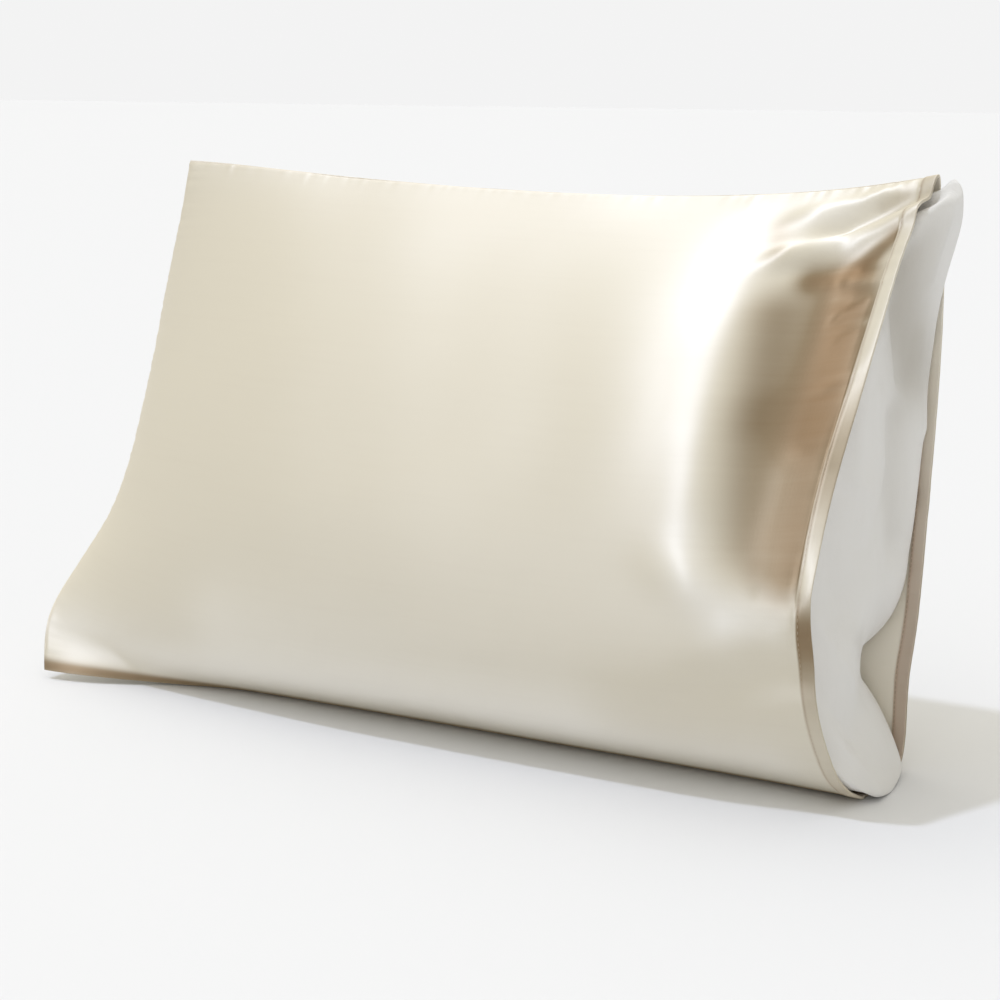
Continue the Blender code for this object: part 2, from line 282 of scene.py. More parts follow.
# Stitches: rings of a stitch and corners of a ring, where its rings end, and its flatness and lift
# as shares of the thread.
THREAD_RINGS = (5, 6)
THREAD_END = 0.9
THREAD_FLATNESS = 0.38
THREAD_LIFT = 0.05

# Finishes that no setting changes: the edges' rounding as a share of the cloth, the satin's, then
# the shares of tone, and the heights and rates of threads and slubs against the thread pitch.
ROUNDED_SHARE = 0.35
FLOAT_TURN = 0.25
SATIN_IOR = 2.4
INSIDE_ROUGHNESS = 0.62
SEAM_ROUGHENING = 0.12
SATIN_FLOAT = 12.0
SATIN_BUMP = (0.5, 0.06)
COTTON_FLOAT = 2.5
COTTON_BUMP = (0.6, 0.2)
TWIST_RATE = 2500.0
SEAM_SHARE = 0.55
TONE_WANDER = 0.10
WEAVE_RIDGE = 0.25
CROSSING_RATE = 2.5
CROSSING_HEIGHT = 0.12
SLUB_RATES = (0.05, 0.11, 0.11)

# Broad soft banks of light in the dome; the key light's travel and its spread in degrees; the
# floor's half width and level, and the camera's place and its turns in degrees.
LIGHT_BANKS = (
    # degrees round from the front, degrees up, strength
    (-115, 55, 0.95),
    (0, 60, 0.60),
)
KEY_TRAVEL = (0.119, 0.093, -0.295)
KEY_SPREAD = 3
FLOOR_HALF = 12.0
FLOOR_LEVEL = -0.0002
CAMERA_PLACE = (0.553, -0.916, 0.357)
CAMERA_TURN = (78.0, 0.0, 28.7)

# The pillow: how far it keeps from the cloth, with more at the seams and at the mouth's top
# corner, and where it starts and ends, as shares of the length and of the cloth.
INSERT_ROOM = 0.0015
INSERT_SLACK = 0.0022
BOTTOM_SLACK = 0.1
CORNER_SLACK = 0.0018
CORNER_START = (0.78, 0.70)
CORNER_SPAN = (0.10, 0.12)
LEAST_ROOM = 0.28
INSERT_START = 0.045
INSERT_EDGE = 0.055
EDGE_AT_MOUTH = (0.5, 0.6)
SEAM_ZONE = 0.2
# How far its end bulges past the mouth, in mm.
INSERT_END = (
    # along the hem, front, middle, back
    (0.00, 7, 10, 8),
    (0.10, -3, 7, 6),
    (0.20, -12, 0, -2),
    (0.32, -14, -6, -4.5),
    (0.50, -13.5, -6.5, -3.5),
    (0.70, -12, -4.5, -2.5),
    (0.86, -7, 4, 5),
    (0.94, 1, 12.5, 12),
    (1.00, 4, 10.5, 9.5),
)
# The pocket by the back hem: share up and place across, half its height and width, depth in mm.
POCKET = (0.300, 0.95, 0.060, 0.45, 26.0)
POCKET_POINTEDNESS = 0.65
# Crumples, and places of painted shade on the end, as strokes in mm across it from its middle
# and up from its foot.
PILLOW_DENTS = (
    (-22, 300, 16, 250, 14, -6),
    (-30, 250, -14, 190, 10, 3),
    (8, 226, 26, 168, 9, -4.5),
    (-28, 172, -6, 128, 10, -3.5),
    (10, 140, -8, 100, 11, 3.5),
    (16, 92, -10, 62, 8, -3.5),
    (-24, 60, -8, 24, 9, 2.5),
    (-4, 322, 10, 296, 5, 1.6),
    (-12, 232, 4, 204, 4, 1.2),
    (14, 196, 2, 160, 4, -1.2),
    (-34, 286, -20, 262, 4.5, 1.6),
    (-10, 278, 6, 246, 4.5, -1.8),
    (-32, 220, -18, 182, 4.5, -1.6),
    (-6, 186, 10, 152, 5, 1.8),
    (-22, 120, -4, 94, 4.5, 1.6),
    (-30, 96, -14, 72, 5, -1.6),
    (20, 268, 34, 228, 5, 1.8),
)
PILLOW_PAINTED_SHADES = (
    (-24, 300, 18, 256, 22, 0.85),
    (10, 226, 24, 176, 10, 0.30),
    (6, 116, 22, 104, 7, 0.30),
)
PILLOW_END_WIDTH = 40.0
SHADED_END = (0.9, 0.08)
# Past the mouth its top corner rises, its foot sags and its sides draw in: how much, and how far
# past the mouth that takes.
CORNER_RISE = (0.0075, 0.009)
CORNER_SAG = (0.0034, 0.006)
SAG_START = 0.002
END_ROUNDING = (0.25, 0.016)
END_CROWDING = 0.12
PILLOW_HALVES = (0.2435, 0.178, 0.060)
PILLOW_GRID = (84, 130, 28)


def spline_weights(knots, places):
    """Weights of a smooth curve through the knots, one row for each place where it is read."""
    knots = np.asarray(knots, float)
    places = np.asarray(places, float)
    count = len(knots)
    step = np.diff(knots)
    system = np.eye(count)
    bends = np.zeros((count, count))
    for i in range(1, count - 1):
        system[i, i - 1:i + 2] = step[i - 1], 2 * (step[i - 1] + step[i]), step[i]
        bends[i, i - 1:i + 2] = 6 / step[i - 1], -6 / step[i - 1] - 6 / step[i], 6 / step[i]
    second = np.linalg.solve(system, bends)
    cell = np.clip(np.searchsorted(knots, places, side="right") - 1, 0, count - 2)
    width = step[cell]
    right = (places - knots[cell]) / width
    left = 1 - right
    unit = np.eye(count)
    straight = left[:, None] * unit[cell] + right[:, None] * unit[cell + 1]
    bow_left = ((left ** 3 - left) * width ** 2 / 6)[:, None] * second[cell]
    bow_right = ((right ** 3 - right) * width ** 2 / 6)[:, None] * second[cell + 1]
    return straight + bow_left + bow_right


def read_curve(rows, column, places):
    """One column of a table whose first column is the place, read smoothly at the places."""
    table = np.array(rows, float)
    return spline_weights(table[:, 0], places) @ table[:, column]


def read_sections(rows, level_places, along, up):
    """Depth of the section table at each pair of a share of the length and of the cloth."""
    table = np.array(rows, float)
    lengthwise = spline_weights(table[:, 0], along)
    upward = spline_weights(level_places, up)
    return np.einsum("ki,ij,kj->k", lengthwise, table[:, 1:], upward)


def smooth_step(x):
    x = np.clip(x, 0.0, 1.0)
    return x * x * (3 - 2 * x)


def unit(vectors):
    return vectors / np.linalg.norm(vectors, axis=-1, keepdims=True)


def uneven_wave(place, shortest, longest, seed, count=9):
    """Sum of sines of random lengths and phases, about -1 to 1, so that no two puckers match."""
    random = np.random.default_rng(seed)
    lengths = random.uniform(shortest, longest, count)
    phases = random.uniform(0.0, 2 * np.pi, count)
    weights = random.uniform(0.5, 1.0, count)
    waves = np.sin(2 * np.pi * place[:, None] / lengths + phases)
    return waves @ weights / weights.sum() * WAVE_GAIN


def strokes(table, mouth, top, tail=1.0):
    """Sum of soft straight strokes: height times exp(-(distance to the segment / half width)^2),
    where the distance past an end is divided by the tail, so that a stroke can fade out slowly."""
    total = np.zeros_like(mouth)
    for mouth_1, top_1, mouth_2, top_2, half_width, height in table:
        run = math.hypot(mouth_2 - mouth_1, top_2 - top_1)
        toward_mouth, toward_top = (mouth_2 - mouth_1) / run, (top_2 - top_1) / run
        travelled = (mouth - mouth_1) * toward_mouth + (top - top_1) * toward_top
        aside = (mouth - mouth_1) * toward_top - (top - top_1) * toward_mouth
        beyond = np.maximum(np.abs(travelled - run / 2) - run / 2, 0.0) / tail
        total += height * np.exp(-(np.hypot(aside, beyond) / half_width) ** 2)
    return total


def crown(along):
    """How far the filling has swelled, from 0 at the closed end's seam to 1."""
    left_over = np.clip(1 - along / CROWN_REACH, 0.0, 1.0)
    return (1 - left_over ** 3) ** CROWN_POWER


def cloth_half(along, sizes):
    """Half the thickness of the cloth: the hem's near the mouth, eased to the single cloth's."""
    from_mouth = (1 - along) * CUT_LENGTH
    near_hem = smooth_step((HEM_EASE[1] - from_mouth) / (HEM_EASE[1] - HEM_EASE[0]))
    return (sizes.cloth + (sizes.hem_cloth - sizes.cloth) * near_hem) / 2


def smooth_cloth(side, along, up, sizes):
    """Middle of a panel's cloth without folds. The depth is read from the sections, blended to
    the straight seam of the closed end by the crown, and the ends are drawn in by their curves."""
    if side < 0:
        sections, places, shares, column = FRONT_SECTIONS, FRONT_ALONG, FRONT_HEIGHTS, 1
    else:
        sections, places, shares, column = BACK_SECTIONS, BACK_ALONG, BACK_HEIGHTS, 2
    inside = np.clip(along, 0.0, 1.0)
    top = read_curve(TOP_SEAM, 1, inside)
    depth = read_sections(sections, places, inside, up)
    height = (spline_weights(places, up) @ np.array(shares)) * top
    end_depth = END_BOTTOM[0] + (sections[0][-1] - END_BOTTOM[0]) * up
    end_height = END_BOTTOM[1] + (TOP_SEAM[0][1] - END_BOTTOM[1]) * up
    in_foot = 1 - smooth_step(up / FOOT_SHARE)
    swell = crown(inside) * (1 - in_foot) + smooth_step(inside / FOOT_REACH) * in_foot
    depth = end_depth + (depth - end_depth) * swell
    height = end_height + (height - end_height) * swell
    drawn_left = read_curve(CLOSED_END, 1, up) * (1 - inside) ** EDGE_DRAW_POWER
    drawn_right = read_curve(MOUTH, column, up) * inside ** EDGE_DRAW_POWER
    x = (along - 0.5) * STANDING_LENGTH + (drawn_left - drawn_right) * MM
    half_cloth = cloth_half(along, sizes)
    flat_seam = (1 - smooth_step(up / BOTTOM_EASE[0])) * smooth_step(along / BOTTOM_EASE[1])
    apart = SEAM_GAP / 2 + half_cloth * (1 - 0.5 * flat_seam)
    y = depth * MM + side * apart
    z = np.maximum(height * MM, half_cloth)
    return np.stack((x - FRAME_X, y - FRAME_Y, z), axis=-1)


def outward_of(side, lengthwise, upward):
    """Unit vector out of the case from the two directions that lie in the cloth."""
    return unit(-side * np.cross(lengthwise, upward))


def flat_places(along, up):
    """Distances in mm in the flat cloth: from the mouth, closed end, top seam and bottom seam."""
    return (
        (1 - along) * CUT_LENGTH / MM, along * CUT_LENGTH / MM,
        (1 - up) * CUT_WIDTH / MM, up * CUT_WIDTH / MM)


def main_folds(side, along, up):
    """Height in metres of the folds that the frame has too, eased to nothing at the seams."""
    table = FRONT_FOLDS if side < 0 else BACK_FOLDS
    ease = smooth_step(up / FOLD_EASE[0]) * smooth_step((1 - up) / FOLD_EASE[1])
    mouth, _, top, _ = flat_places(along, up)
    return strokes(table, mouth, top, FOLD_TAIL) * ease * MM


def puckers(row, place, away, shift, seed):
    """Uneven waves along a seam, times exp(-distance from it / fade), eased in where they start."""
    shortest, longest, fade, start, share = row
    eased = smooth_step((away + shift) / start)
    return share * uneven_wave(place, shortest, longest, seed) * np.exp(-away / fade) * eased


def fine_relief(side, along, up, sizes):
    """Height in metres of the cloth's small shapes: creases, puckers that run in from the seams
    and from the hem's stitches and fade within a few mm, the rolled seams, the stitched groove
    and the lean of the hem, and a slow unevenness over the whole cloth."""
    mouth, closed, top, bottom = flat_places(along, up)
    seed, creases = (FRONT_SEED, FRONT_CREASES) if side < 0 else (BACK_SEED, BACK_CREASES)
    relief = strokes(creases, mouth, top, FOLD_TAIL)
    relief *= smooth_step(top / CREASE_EASE[0]) * smooth_step(bottom / CREASE_EASE[1])
    pucker = sizes.pucker / MM
    relief += pucker * puckers(HEM_PUCKERS, top, mouth - HEM / MM, HEM_PUCKERS[3] / 2, seed)
    relief += pucker * puckers(TOP_PUCKERS, closed, top, 0.0, seed + 1)
    relief += pucker * puckers(END_PUCKERS, top, closed, 0.0, seed + 2)
    for number, (of_mouth, of_top, shortest, longest) in enumerate(SLOW_WAVES, 3):
        slow = uneven_wave(of_mouth * mouth + of_top * top, shortest, longest, seed + number)
        relief += SLOW_SHARE * sizes.unevenness / MM * slow
    roll = sizes.seam_roll / MM
    relief -= roll * np.exp(-(top / ROLL_WIDTH) ** 2)
    relief -= roll * np.exp(-(closed / ROLL_WIDTH) ** 2) * smooth_step(top / ROLL_START)
    if side < 0:
        leaning = 1 - smooth_step(mouth / (HEM / MM) / LEAN_REACH)
        relief += read_curve(HEM_LEAN, 1, top) * leaning * smooth_step(bottom / LEAN_START)
    shortest, longest, height = HEM_WAVES
    in_hem = smooth_step((HEM / MM - mouth) / HEM_STEP)
    relief += height * uneven_wave(top, shortest, longest, seed + 5) * in_hem
    line = (mouth - (HEM - sizes.stitch_inset) / MM) / GROOVE_WIDTH
    relief -= GROOVE_DEPTH * np.exp(-line ** 2)
    return relief * MM * smooth_step((bottom - RELIEF_START[0]) / RELIEF_START[1])


def cloth_frame(side, along, up, sizes, inward=0.0, fine=True):
    """Places on the folded cloth, moved inward if asked, with their outward unit vectors."""
    here, ahead, behind, above, below = (
        smooth_cloth(side, along + a * SLOPE_STEP, up + b * SLOPE_STEP, sizes)
        for a, b in ((0, 0), (1, 0), (-1, 0), (0, 1), (0, -1)))
    outward = outward_of(side, ahead - behind, above - below)
    lift = main_folds(side, along, up) - inward
    if fine:
        lift = lift + fine_relief(side, along, up, sizes)
    place = here + outward * lift[:, None]
    lowest = cloth_half(along, sizes) + inward
    place[:, 2] = np.maximum(place[:, 2], lowest)
    return place, outward


def crowded_lines(spacing, count):
    """Lines from the first to the last place of a table, so close that equal steps of the running
    sum of 1 / spacing lie between them; given as shares of the last place."""
    table = np.array(spacing, float)
    fine = np.linspace(table[0, 0], table[-1, 0], 4001)
    density = 1 / np.interp(fine, table[:, 0], table[:, 1])
    total = np.concatenate(([0.0], np.cumsum((density[1:] + density[:-1]) / 2)))
    return np.interp(np.linspace(0.0, total[-1], count), total, fine) / table[-1, 0]


def grid_faces(columns, rows):
    """Corner numbers of the quads of a grid stored column by column."""
    corner = np.arange(columns * rows).reshape(columns, rows)
    quads = (corner[:-1, :-1], corner[1:, :-1], corner[1:, 1:], corner[:-1, 1:])
    return np.stack(quads, axis=-1).reshape(-1, 4)


def mesh_object(name, places, faces):
    """A smooth-shaded object at the origin from arrays of places and faces."""
    mesh = bpy.data.meshes.new(name)
    mesh.from_pydata(places.tolist(), [], faces.tolist())
    mesh.validate()
    mesh.shade_smooth()
    thing = bpy.data.objects.new(name, mesh)
    bpy.context.scene.collection.objects.link(thing)
    return thing


def write_values(thing, name, values):
    """One number from 0 to 1 for each corner of the mesh, which its material reads by name."""
    layer = thing.data.attributes.new(name, "FLOAT", "POINT")
    layer.data.foreach_set("value", np.clip(values, 0.0, 1.0).astype(np.float32))


def write_flat_map(thing, flat):
    """The UV map in metres of the flat cloth: u along the length and v from seam to seam."""
    corners = np.empty(len(thing.data.loops), dtype=np.int32)
    thing.data.loops.foreach_get("vertex_index", corners)
    layer = thing.data.uv_layers.new(name="flat_cloth")
    layer.data.foreach_set("uv", flat[corners].astype(np.float32).ravel())


def build_cover(word, side, counts, sizes, look):
    """A panel of satin: a grid of the flat cloth on the folded surface, thickened to a closed
    sheet that is thicker in the hem, with its edges rounded."""
    along_lines = crowded_lines(COLUMN_SPACING, counts[0])
    up_lines = crowded_lines(ROW_SPACING, counts[1])
    along, up = (grid.ravel() for grid in np.meshgrid(along_lines, up_lines, indexing="ij"))
    places, _ = cloth_frame(side, along, up, sizes)
    faces = grid_faces(*counts)
    if side > 0:
        faces = faces[:, ::-1]
    cover = mesh_object(f"{word}_cover", places, faces)
    write_flat_map(cover, np.stack((along * CUT_LENGTH, up * CUT_WIDTH), axis=-1))
    mouth, closed, top, bottom = flat_places(along, up)
    in_hem = 1 - smooth_step((mouth - HEM / MM + HEM_STEP / 2) / HEM_STEP)
    # Painted light in the satin's colour: painted shade from the strokes and along the hem, and
    # painted highlights that fade where the painted shade is.
    if side < 0:
        turned = 1 - np.exp(-SHADE_GROWTH * np.maximum(strokes(FRONT_PAINTED_SHADES, mouth, top), 0.0))
        shade = turned * (1 - in_hem) + read_curve(HEM_PAINTED_SHADES, 1, top) * in_hem
        gleam = strokes(FRONT_PAINTED_HIGHLIGHTS, mouth, top) * (1 - shade)
    else:
        shade = read_curve(BACK_HEM_PAINTED_SHADES, 1, top) * in_hem
        gleam = np.zeros_like(mouth)
    write_values(cover, "turned", shade)
    write_values(cover, "gleam", gleam)
    edge = np.minimum(np.minimum(top, bottom), closed)
    write_values(cover, "near_seam", SEAM_TONE[0] * np.exp(-edge / SEAM_TONE[1]))
    line = (mouth - (HEM - sizes.stitch_inset) / MM) / LINE_TONE
    write_values(cover, "stitch_line", np.exp(-line ** 2))
    for turn, tone, shaded, roughness in (
            ("face", look.ivory, look.shade_and_twist_tan, look.satin_roughness),
            ("inside", look.inside, look.painted_inside_shade, INSIDE_ROUGHNESS)):
        cover.data.materials.append(satin(f"satin_{word}_{turn}", look, tone, shaded, roughness))
    hem_corners = np.flatnonzero(mouth < HEM / MM + HEM_MARGIN)
    cover.vertex_groups.new(name="hem").add(hem_corners.tolist(), 1.0, "REPLACE")
    solidify = cover.modifiers.new("cloth", "SOLIDIFY")
    solidify.thickness = sizes.hem_cloth
    solidify.offset = 0.0
    solidify.vertex_group = "hem"
    solidify.thickness_vertex_group = sizes.cloth / sizes.hem_cloth
    solidify.material_offset = 1
    rounding = cover.modifiers.new("rounded edges", "BEVEL")
    rounding.width = sizes.cloth * ROUNDED_SHARE
    rounding.segments = 2
    rounding.limit_method = "ANGLE"
    rounding.angle_limit = math.radians(60)
    return cover


def thread_form():
    """One stitch of length 2 and thickness 2: rings whose radius is the root of 1 - t^4, closed
    by a point at each end."""
    rings, around = THREAD_RINGS
    t = np.linspace(-THREAD_END, THREAD_END, rings)
    angle = np.arange(around) * 2 * np.pi / around
    radius = np.sqrt(1 - t ** 4)
    sideways, upward = (np.outer(radius, turn(angle)).ravel() for turn in (np.cos, np.sin))
    tube = np.stack((np.repeat(t, around), sideways, upward), axis=-1)
    ends = np.array(((-1.0, 0.0, 0.0), (1.0, 0.0, 0.0)))
    ring = np.arange(rings * around).reshape(rings, around)
    turned = np.roll(ring, -1, axis=1)
    sides = np.stack((ring[:-1], ring[1:], turned[1:], turned[:-1]), axis=-1).reshape(-1, 4)
    first, last = rings * around, rings * around + 1
    cap_1 = np.stack((np.full(around, first), ring[0], turned[0], turned[0]), axis=-1)
    cap_2 = np.stack((np.full(around, last), turned[-1], ring[-1], ring[-1]), axis=-1)
    return np.concatenate((tube, ends)), np.concatenate((sides, cap_1, cap_2))


def build_stitches(name, side, face, sizes, finish):
    """The row of stitches along a hem: the thread form set at equal steps on the cloth's face,
    its length along the row and its thickness squeezed towards the cloth."""
    count = int(CUT_WIDTH / sizes.stitch_pitch) - 2
    up = (np.arange(count) + 1.5) * sizes.stitch_pitch / CUT_WIDTH
    along = np.full(count, 1 - (HEM - sizes.stitch_inset) / CUT_LENGTH)
    step = sizes.stitch_pitch / 4 / CUT_WIDTH
    place, outward = cloth_frame(side, along, up, sizes)
    ahead, _ = cloth_frame(side, along, up + step, sizes)
    behind, _ = cloth_frame(side, along, up - step, sizes)
    run = unit(ahead - behind)
    lift = unit(np.cross(np.cross(run, outward), run))
    across = np.cross(run, lift)
    middle = place + lift * face * (sizes.hem_cloth / 2 + sizes.thread * THREAD_LIFT)
    form, faces = thread_form()
    half = np.array((sizes.stitch_length / 2, sizes.thread / 2, sizes.thread * THREAD_FLATNESS))
    axes = np.stack((run, across, lift), axis=1)
    points = middle[:, None, :] + np.einsum("pj,njk->npk", form * half, axes)
    every = faces[None] + np.arange(count)[:, None, None] * len(form)
    row = mesh_object(name, points.reshape(-1, 3), every.reshape(-1, 4))
    tidy_mesh(row)
    row.data.materials.append(finish)
    return row


def tidy_mesh(thing):
    """Merge doubled corners and point the faces outwards."""
    body = bmesh.new()
    body.from_mesh(thing.data)
    bmesh.ops.remove_doubles(body, verts=body.verts[:], dist=1e-6)
    bmesh.ops.recalc_face_normals(body, faces=body.faces[:])
    body.to_mesh(thing.data)
    body.free()
    thing.data.shade_smooth()


def rounded_block(counts, halves, radius):
    """Surface of a block with rounded edges: the part of each place that lies outside the
    smaller inner block is cut back to the radius. Given as shares from -1 to 1, with faces."""
    places, faces, start = [], [], 0
    halves = np.array(halves)
    for axis in range(3):
        across, up = [other for other in range(3) if other != axis]
        lines = [np.linspace(-1.0, 1.0, counts[other] + 1) for other in (across, up)]
        first, second = (grid.ravel() for grid in np.meshgrid(*lines, indexing="ij"))
        for end in (-1.0, 1.0):
            patch = np.empty((len(first), 3))
            patch[:, axis], patch[:, across], patch[:, up] = end, first, second
            places.append(patch)
            faces.append(grid_faces(counts[across] + 1, counts[up] + 1) + start)
            start += len(patch)
    places = np.concatenate(places) * halves
    inner = np.clip(places, radius - halves, halves - radius)
    outer = places - inner
    outer /= np.maximum(np.linalg.norm(outer, axis=-1, keepdims=True), 1e-9)
    return (inner + outer * radius) / halves, np.concatenate(faces)


def pillow_points(along_share, up_share, across, sizes):
    """Surface of the pillow between the panels: shares of its length and height, and -1 front to
    +1 back. Its end bulges past the mouth by a table and sinks in at the pocket. Also gives how
    much painted shade each place gets."""
    up = INSERT_EDGE + (1 - 2 * INSERT_EDGE) * up_share
    at_mouth = smooth_step(1 - (1 - along_share) / SEAM_ZONE)
    up -= EDGE_AT_MOUTH[0] * INSERT_EDGE * smooth_step(1 - up_share / SEAM_ZONE) * at_mouth
    up += EDGE_AT_MOUTH[1] * INSERT_EDGE * smooth_step(1 - (1 - up_share) / SEAM_ZONE) * at_mouth
    table = np.array(INSERT_END)
    lengthwise = spline_weights(table[:, 0], up)
    crosswise = spline_weights((-1, 0, 1), across)
    end = np.einsum("ki,ij,kj->k", lengthwise, table[:, 1:], crosswise)
    pocket_up, pocket_across, half_up, half_across, pocket_depth = POCKET
    apart = ((up - pocket_up) / half_up) ** 2 + ((across - pocket_across) / half_across) ** 2
    end -= pocket_depth * np.exp(-apart ** POCKET_POINTEDNESS)
    end += strokes(PILLOW_DENTS, across * PILLOW_END_WIDTH, up * CUT_WIDTH / MM)
    along = INSERT_START + (1 + end * MM / STANDING_LENGTH - INSERT_START) * along_share
    inside = np.minimum(along, 1.0)
    gap = smooth_cloth(1, inside, up, sizes) - smooth_cloth(-1, inside, up, sizes)
    near_top = 1 - smooth_step((1 - up) / SEAM_ZONE)
    near_bottom = 1 - smooth_step(up / SEAM_ZONE)
    room = INSERT_ROOM + INSERT_SLACK * (near_top + BOTTOM_SLACK * near_bottom)
    corner = smooth_step((along - CORNER_START[0]) / CORNER_SPAN[0])
    corner *= smooth_step((up - CORNER_START[1]) / CORNER_SPAN[1])
    most_room = LEAST_ROOM * np.linalg.norm(gap, axis=-1)
    room = np.minimum(room + CORNER_SLACK * corner, most_room)
    front, _ = cloth_frame(-1, inside, up, sizes, room, fine=False)
    back, _ = cloth_frame(1, inside, up, sizes, room, fine=False)
    past = np.maximum(along - 1, 0.0) * STANDING_LENGTH
    narrowed = across * (1 - END_ROUNDING[0] * np.minimum(past / END_ROUNDING[1], 1.0) ** 2)
    place = (front + back) / 2 + (back - front) / 2 * narrowed[:, None]
    place[:, 0] += past
    place[:, 2] += CORNER_RISE[0] * smooth_step(past / CORNER_RISE[1]) * near_top
    place[:, 2] -= CORNER_SAG[0] * smooth_step((past - SAG_START) / CORNER_SAG[1]) * near_bottom
    place[:, 2] = np.maximum(place[:, 2], SEAM_GAP)
    at_end = smooth_step((along - SHADED_END[0]) / SHADED_END[1])
    return place, strokes(PILLOW_PAINTED_SHADES, across * PILLOW_END_WIDTH, up * CUT_WIDTH / MM) * at_end


def build_pillow(name, sizes, finish):
    """The filled pillow: a rounded block set between the panels, with soft uneven swells."""
    shares, faces = rounded_block(PILLOW_GRID, PILLOW_HALVES, sizes.pillow_rounding)
    even = (shares[:, 0] + 1) / 2
    along_share = even + END_CROWDING * np.sin(np.pi * even) * even
    places, shaded = pillow_points(
        np.minimum(along_share, 1.0), (shares[:, 1] + 1) / 2, shares[:, 2], sizes)
    pillow = mesh_object(name, places, faces)
    # Painted shade on the pillow's end, read by the cotton as its turned numbers.
    write_values(pillow, "turned", shaded)
    tidy_mesh(pillow)
    pillow.data.materials.append(finish)
    return pillow


class Bench:
    """Puts nodes in a tree and joins them, so that each recipe reads from top to bottom."""

    def __init__(self, tree):
        self.tree = tree

    def set(self, socket, value):
        """Join a socket to another one, or give it a value."""
        if isinstance(value, bpy.types.NodeSocket):
            self.tree.links.new(value, socket)
        else:
            socket.default_value = value

    def feed(self, node, inputs):
        for name, value in inputs.items():
            self.set(node.inputs[name], value)

    def put(self, kind, inputs=None, **settings):
        """A node with its settings, then its inputs by name or number."""
        node = self.tree.nodes.new("ShaderNode" + kind)
        for name, value in settings.items():
            setattr(node, name, value)
        self.feed(node, inputs or {})
        return node

    def math(self, operation, first, second=0.0, third=0.0, clamp=False):
        inputs = {0: first, 1: second, 2: third}
        node = self.put("Math", inputs, operation=operation, use_clamp=clamp)
        return node.outputs[0]

    def value(self, name):
        """A number that the mesh carries under this name."""
        return self.put("Attribute", attribute_name=name).outputs["Fac"]

    def noise(self, place, scale, detail, roughness=0.5):
        inputs = {"Vector": place, "Scale": scale, "Detail": detail, "Roughness": roughness}
        return self.put("TexNoise", inputs).outputs[0]

    def cloth(self, place, pitch, floats, bump, tones):
        """The colour and the loss of gloss of a woven cloth, and the normal of its threads, which
        stand up by a share of their pitch."""
        inputs = {"Cloth Place": place, "Thread Pitch": pitch, "Float Length": floats}
        weave = self.put("Group", inputs, node_tree=weave_group()).outputs
        # The mesh's 'turned' numbers are painted shade, which take the colour towards the Turned
        # Color.
        inputs = {"Turned": self.value("turned"), "Unevenness": weave["Slubs"], **tones}
        tone = self.put("Group", inputs, node_tree=tone_group()).outputs
        inputs = {"Height": weave["Height"], "Strength": bump[0], "Distance": pitch * bump[1]}
        return tone["Color"], tone["Gloss Loss"], self.put("Bump", inputs).outputs["Normal"]

    def blend(self, factor, first, second):
        node = self.put("Mix", data_type="RGBA")
        for name, value in (("Factor_Float", factor), ("A_Color", first), ("B_Color", second)):
            self.set(next(each for each in node.inputs if each.identifier == name), value)
        return next(each for each in node.outputs if each.identifier == "Result_Color")


def opaque(color):
    return (*color, 1.0)


def new_group(name, inputs, outputs):
    """An empty node group with its named sockets, what its inputs give, and its output node."""
    group = bpy.data.node_groups.new(name, "ShaderNodeTree")
    for way, sockets in (("INPUT", inputs), ("OUTPUT", outputs)):
        for label, kind in sockets:
            group.interface.new_socket(label, in_out=way, socket_type="NodeSocket" + kind)
    given, result = (group.nodes.new("NodeGroup" + end) for end in ("Input", "Output"))
    return group, Bench(group), given.outputs, result


def weave_group():
    """Threads of a cloth. The place in metres is divided by the pitch each way, and the height is
    the sum of two crossing waves of threads and of slubs, which are noise drawn out along them."""
    name = "Woven Threads"
    if name in bpy.data.node_groups:
        return bpy.data.node_groups[name]
    group, bench, given, result = new_group(
        name,
        (("Cloth Place", "Vector"), ("Thread Pitch", "Float"), ("Float Length", "Float")),
        (("Height", "Float"), ("Slubs", "Float")))
    apart = bench.put("SeparateXYZ", {0: given["Cloth Place"]})
    per_thread = bench.math("DIVIDE", 1.0, given["Thread Pitch"])
    per_float = bench.math("DIVIDE", per_thread, given["Float Length"])
    down = bench.math("MULTIPLY", apart.outputs["Y"], per_thread)
    run = bench.math("MULTIPLY", apart.outputs["X"], per_float)
    depth = bench.math("MULTIPLY", apart.outputs["Z"], per_thread)
    drawn = bench.put("CombineXYZ", {"X": run, "Y": down, "Z": depth})
    threads = bench.noise(drawn.outputs[0], 1.0, 1.0, 0.5)
    ridge = bench.math("SINE", bench.math("MULTIPLY", down, 2 * math.pi))
    crossing = bench.math("SINE", bench.math("MULTIPLY", run, 2 * math.pi * CROSSING_RATE))
    crossing = bench.math("MULTIPLY", crossing, CROSSING_HEIGHT)
    woven = bench.math("MULTIPLY_ADD", ridge, WEAVE_RIDGE, crossing)
    long_place = bench.put(
        "VectorMath", {0: drawn.outputs[0], 1: SLUB_RATES}, operation="MULTIPLY")
    slubs = bench.noise(long_place.outputs[0], 1.0, 3.0, 0.55)
    bench.feed(result, {"Height": bench.math("ADD", woven, threads), "Slubs": slubs})
    return group


